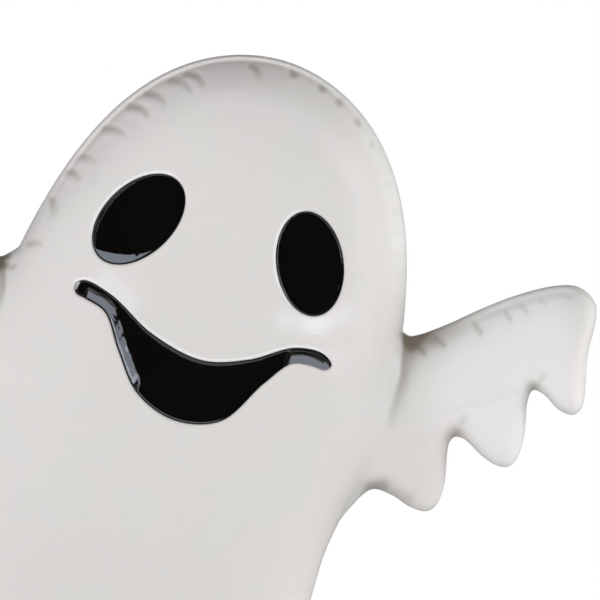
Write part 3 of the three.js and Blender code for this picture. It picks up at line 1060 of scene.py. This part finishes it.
def white_glaze():
    """White tin glaze fired glossy: a hard clear reflection over an even, faintly uneven white, with painted
    highlights and painted shade in it
    """
    material = new_material("glossy_white_glaze")
    place = add(material, "ShaderNodeTexCoord").outputs["Object"]
    even = two_tone(material, place, 26, "#ebe5e4", "#e7e7e4", contrast=True)
    # Painted highlights whiten the glaze to near white
    painted_highlight = add(material, "ShaderNodeAttribute", {"attribute_name": "painted_highlight"}).outputs["Fac"]
    with_highlight = add(material, "ShaderNodeMix", {"data_type": "RGBA"}, {"Factor": painted_highlight, 6: even})
    with_highlight.inputs[7].default_value = linear("#fdfdfc")
    # Painted shade darkens the glaze to olive grey
    thin = add(material, "ShaderNodeAttribute", {"attribute_name": "thin"}).outputs["Fac"]
    tone = add(
        material, "ShaderNodeMix", {"data_type": "RGBA"}, {"Factor": thin, 6: with_highlight.outputs["Result"]},
    )
    tone.inputs[7].default_value = linear("#7e7565")
    colour = tone.outputs["Result"]
    waves = add(material, "ShaderNodeTexNoise", {"Scale": 1 / (9 * MM), "Detail": 1}, {"Vector": place})
    gloss = add(
        material, "ShaderNodeMapRange", {"To Min": 0.09, "To Max": 0.15}, {"Value": waves.outputs["Fac"]},
    )
    bump = add(
        material, "ShaderNodeBump", {"Strength": 0.12, "Distance": 0.25 * MM},
        {"Height": waves.outputs["Fac"]},
    )
    shade(
        material, {"IOR": 1.5, "Specular IOR Level": 0.15},
        {"Base Color": colour, "Roughness": gloss.outputs["Result"], "Normal": bump.outputs["Normal"]},
    )
    return material


def black_glaze():
    """Black glaze pooled thick: deep black with a wet, mirror-like reflection that wavers a little"""
    material = new_material("pooled_black_glaze")
    place = add(material, "ShaderNodeTexCoord").outputs["Object"]
    colour = two_tone(material, place, 14, "#0c0c09", "#090706")
    waves = add(material, "ShaderNodeTexNoise", {"Scale": 1 / (5 * MM), "Detail": 2}, {"Vector": place})
    gloss = add(
        material, "ShaderNodeMapRange", {"To Min": 0.03, "To Max": 0.08}, {"Value": waves.outputs["Fac"]},
    )
    bump = add(
        material, "ShaderNodeBump", {"Strength": 0.5, "Distance": 0.3 * MM},
        {"Height": waves.outputs["Fac"]},
    )
    shade(
        material, {"IOR": 1.75, "Specular IOR Level": 0.9},
        {"Base Color": colour, "Roughness": gloss.outputs["Result"], "Normal": bump.outputs["Normal"]},
    )
    return material


def pressed_felt():
    """Pressed wool felt: matt, with short matted fibres"""
    material = new_material("pressed_grey_felt")
    place = add(material, "ShaderNodeTexCoord").outputs["Object"]
    colour = two_tone(material, place, 1.2, "#3c3936", "#5a5652", 6)
    fibres = add(material, "ShaderNodeTexNoise", {"Scale": 1 / (0.5 * MM), "Detail": 4}, {"Vector": place})
    bump = add(
        material, "ShaderNodeBump", {"Strength": 0.6, "Distance": 0.3 * MM},
        {"Height": fibres.outputs["Fac"]},
    )
    rough = add(
        material, "ShaderNodeMapRange", {"To Min": 0.85, "To Max": 1}, {"Value": fibres.outputs["Fac"]},
    )
    shade(
        material, {"Sheen Weight": 0.3},
        {"Base Color": colour, "Roughness": rough.outputs["Result"], "Normal": bump.outputs["Normal"]},
    )
    return material


# Studio

def paper():
    """Matt white studio paper"""
    material = new_material("matt_white_paper")
    place = add(material, "ShaderNodeTexCoord").outputs["Object"]
    colour = two_tone(material, place, 60, "#f2f2f1", "#f5f5f5")
    shade(material, {"Roughness": 0.9}, {"Base Color": colour})
    return material


FIGURE_MIDDLE = (0.03, 0, 0.2)
FLOOR_HALF_WIDTH = 1.5
RIGHT_POWER = 5.6
LEFT_POWER = 2.8
LOW_POWER = 13
WINDOW_POWER = 5.2
SIDE_WINDOW_POWER = 1.7
ROOM_LOW = 0.85
ROOM_HIGH = 0.1
ROOM_FRONT = 0.008
ROOM_BACK = 0.35


def softbox(name, place, size, power, colour="#ffffff", long_way=(0, 0, 1), lights=True, shines=False):
    """An area lamp that looks at the middle of the figure: it lights it, shines in its glaze, or both"""
    lamp = bpy.data.lights.new(name, "AREA")
    lamp.shape = "RECTANGLE"
    lamp.size, lamp.size_y = size
    lamp.energy = power
    lamp.color = linear(colour)[:3]
    holder = bpy.data.objects.new(name, lamp)
    bpy.context.collection.objects.link(holder)
    holder.location = place
    away = (holder.location - Vector(FIGURE_MIDDLE)).normalized()
    upwards = Vector(long_way)
    upwards = (upwards - away * upwards.dot(away)).normalized()
    holder.rotation_euler = Matrix((upwards.cross(away), upwards, away)).transposed().to_euler()
    holder.visible_camera = False
    holder.visible_diffuse = lights
    holder.visible_glossy = shines


def around(azimuth, elevation, distance):
    """A place round the middle of the figure: azimuth from the front towards the viewer's right"""
    turn, lift = math.radians(azimuth), math.radians(elevation)
    level = distance * math.cos(lift)
    x, _, z = FIGURE_MIDDLE
    return x + level * math.sin(turn), -level * math.cos(turn), z + distance * math.sin(lift)


def studio():
    """The floor, five lamps, and a room whose light is lower than its seen white"""
    floor = bmesh.new()
    bmesh.ops.create_grid(floor, x_segments=8, y_segments=8, size=FLOOR_HALF_WIDTH)
    mesh = bpy.data.meshes.new("floor")
    floor.to_mesh(mesh)
    floor.free()
    mesh.materials.append(paper())
    piece = bpy.data.objects.new("floor", mesh)
    bpy.context.collection.objects.link(piece)

    softbox("right_side", around(98, 8, 1.1), (0.5, 0.9), RIGHT_POWER, "#fffdfb")
    softbox("left_side", around(-80, 5, 1.1), (0.3, 0.9), LEFT_POWER, "#fcfcff")
    softbox("low_front", (0, -FLOOR_HALF_WIDTH - 0.02, 0.035), (2.4, 0.06), LOW_POWER)
    softbox(
        "window", around(32, 47.5, 1.1), (0.55, 1.95), WINDOW_POWER, "#e9f0ff", (-0.9, 0, 0.44),
        lights=False, shines=True,
    )
    softbox(
        "side_window", around(54.6, 4, 1.1), (0.5, 0.75), SIDE_WINDOW_POWER, "#e9f0ff",
        lights=False, shines=True,
    )

    world = bpy.data.worlds.new("white_room")
    bpy.context.scene.world = world
    world.use_nodes = True
    world.node_tree.nodes.clear()
    rays = add(world, "ShaderNodeLightPath")
    place = add(world, "ShaderNodeTexCoord").outputs["Generated"]
    split = add(world, "ShaderNodeSeparateXYZ", {}, {"Vector": place})
    levels = []
    for low, high, first, last, axis in (
        (-0.3, 0.9, ROOM_LOW, ROOM_HIGH, "Z"), (-0.1, 0.35, ROOM_FRONT, ROOM_BACK, "Y"),
    ):
        levels.append(add(
            world, "ShaderNodeMapRange",
            {
                "interpolation_type": "SMOOTHSTEP", "From Min": low, "From Max": high,
                "To Min": first, "To Max": last,
            },
            {"Value": split.outputs[axis]},
        ).outputs["Result"])
    ambient, behind = levels
    level = add(
        world, "ShaderNodeMix", {},
        {"Factor": rays.outputs["Is Glossy Ray"], "A": ambient, "B": behind},
    ).outputs["Result"]
    plain_white = (1, 1, 1, 1)
    seen = add(world, "ShaderNodeBackground", {"Color": plain_white, "Strength": 1})
    room = add(world, "ShaderNodeBackground", {"Color": plain_white}, {"Strength": level})
    mix = add(
        world, "ShaderNodeMixShader", {},
        {0: rays.outputs["Is Camera Ray"], 1: room.outputs[0], 2: seen.outputs[0]},
    )
    add(world, "ShaderNodeOutputWorld", {}, {"Surface": mix.outputs[0]})


def camera():
    """Level and square to the face, from far off: the picture is 216 mm wide at the figure"""
    lens = bpy.data.cameras.new("camera")
    lens.sensor_width = 36
    lens.lens = 833
    holder = bpy.data.objects.new("camera", lens)
    bpy.context.collection.objects.link(holder)
    holder.location = (0.0384, -5, 0.2125)
    holder.rotation_euler = (math.pi / 2, 0, 0)
    bpy.context.scene.camera = holder


# The distance along the rim at each distance below the crown
walked_rim = height_along([
    Vector((down, along)) for along, down, _, tuck in outline_stations() if not tuck
])
for each_arm in ARMS.values():
    prepare_arm(each_arm)

white = white_glaze()
black = black_glaze()
felt = pressed_felt()
new_piece("body_skin", body_skin(), white, ["body_shell"])
for arm_name, each_arm in ARMS.items():
    new_piece(arm_name + "_skin", arm_skin(each_arm), white, [arm_name])
for eye_name, each_eye in EYES.items():
    new_piece(eye_name + "_pool", eye_pool(each_eye), black, [eye_name + "_glaze"])
new_piece("mouth_pool", mouth_pool(), black, ["mouth_glaze"])
for node_name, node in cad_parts.items():
    if node_name.startswith("foot_pad"):
        node.data.materials.clear()
        node.data.materials.append(felt)

studio()
camera()
bpy.context.scene.view_settings.view_transform = "Standard"
